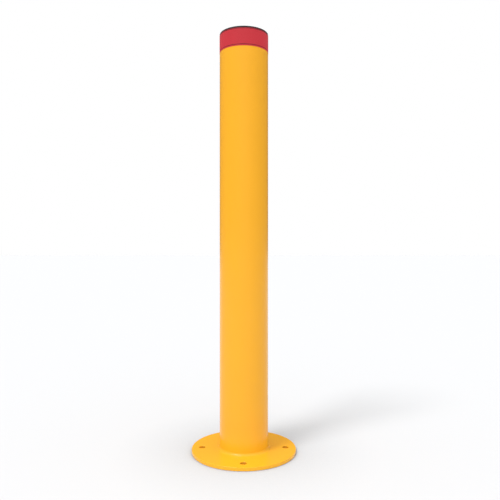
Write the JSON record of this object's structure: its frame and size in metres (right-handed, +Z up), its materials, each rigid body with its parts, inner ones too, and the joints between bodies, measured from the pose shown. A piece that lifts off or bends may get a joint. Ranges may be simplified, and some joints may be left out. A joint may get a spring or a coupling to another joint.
{
  "type": "safety bollard",
  "caption": "Fixed round steel bollard with a bolted circular base plate, an end cap and a reflective band at the top.",
  "frame": {"origin": "on the tube's axis at the underside of the base plate, which is ground level", "axes": "+Z up along the tube; -Y is the front, the side seen in use and in the reference view; the tape's lap is at +Y"},
  "size_m": [0.3, 0.3, 1.2],
  "materials": {
    "powder_coat": "safety-yellow gloss powder coat",
    "cap_plastic": "black moulded polyethylene, fine grain",
    "red_tape": "red retroreflective sheeting"
  },
  "bodies": {
    "root": {"base_plate": "powder_coat", "post_tube": "powder_coat", "base_weld": "powder_coat", "top_cap": "cap_plastic", "reflective_band": "red_tape"}
  },
  "joints": []
}
